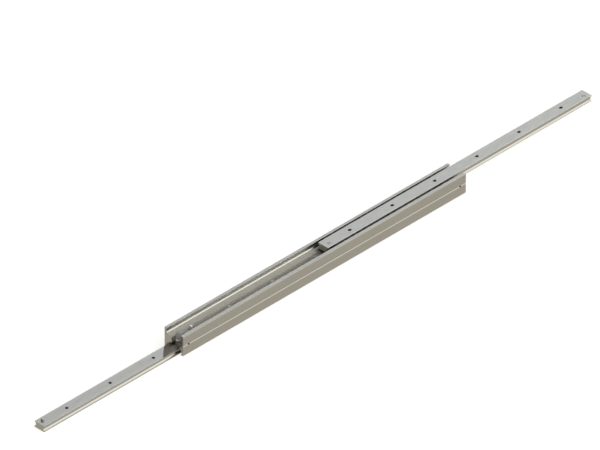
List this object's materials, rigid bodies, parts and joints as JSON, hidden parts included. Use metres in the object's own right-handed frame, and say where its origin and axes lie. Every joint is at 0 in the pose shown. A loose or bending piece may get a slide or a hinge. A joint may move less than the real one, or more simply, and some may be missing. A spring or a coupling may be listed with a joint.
{
  "type": "drawer slide",
  "caption": "Full-extension ball-bearing drawer slide: two C rails joined back to back carry a cabinet rail and a drawer rail that telescope out of opposite ends.",
  "frame": {"origin": "centre of the whole slide when it is fully extended, on the joint between the two outer rails", "axes": "+X along the slide, towards the end that the drawer rail comes out of; +Z from the cabinet rail's side to the drawer rail's side; +Y across the rails"},
  "size_m": [1.026, 0.035, 0.0328],
  "materials": {
    "outer_rail_steel": "ground, bright zinc plated",
    "inner_rail_steel": "ground, bright zinc plated",
    "ball_steel": "polished bearing steel",
    "cage_steel": "pressed sheet, phosphated and oiled",
    "pin_steel": "ground pin steel",
    "screw_steel": "bright zinc plated",
    "end_plate_steel": "burnished dark",
    "stop_block": "moulded grey-blue plastic"
  },
  "bodies": {
    "cabinet_rail": {"lower_inner_rail": "inner_rail_steel", "lower_rail_outer_stop_pin": "pin_steel", "lower_rail_inner_stop_pin": "pin_steel"},
    "lower_cage": {"lower_ball_cage": "cage_steel", "lower_balls_near": "ball_steel", "lower_balls_far": "ball_steel"},
    "intermediate": {"lower_outer_rail": "outer_rail_steel", "upper_outer_rail": "outer_rail_steel", "joining_screws": "screw_steel", "left_stop_block": "stop_block", "right_stop_block": "stop_block", "left_cross_pin": "pin_steel", "right_cross_pin": "pin_steel", "upper_closing_stop_screw": "screw_steel", "lower_closing_stop_screw": "screw_steel", "left_end_plate": "end_plate_steel", "right_end_plate": "end_plate_steel", "left_end_plate_screw": "end_plate_steel", "right_end_plate_screw": "end_plate_steel"},
    "upper_cage": {"upper_ball_cage": "cage_steel", "upper_balls_near": "ball_steel", "upper_balls_far": "ball_steel"},
    "drawer_rail": {"upper_inner_rail": "inner_rail_steel", "upper_rail_outer_stop_pin": "pin_steel", "upper_rail_inner_stop_pin": "pin_steel"}
  },
  "joints": [
    {"name": "intermediate_slide", "type": "slide", "parent": "cabinet_rail", "child": "intermediate", "axis": [-1, 0, 0], "range_m": [0, 0.243]},
    {"name": "drawer_slide", "type": "slide", "parent": "intermediate", "child": "drawer_rail", "axis": [-1, 0, 0], "range_m": [0, 0.243]},
    {"name": "lower_cage_slide", "type": "slide", "parent": "cabinet_rail", "child": "lower_cage", "axis": [-1, 0, 0], "range_m": [0, 0.1215]},
    {"name": "upper_cage_slide", "type": "slide", "parent": "intermediate", "child": "upper_cage", "axis": [-1, 0, 0], "range_m": [0, 0.1215]}
  ],
  "couplings": [
    {"joint": "lower_cage_slide", "follows": "intermediate_slide", "ratio": 0.5},
    {"joint": "upper_cage_slide", "follows": "drawer_slide", "ratio": 0.5}
  ]
}
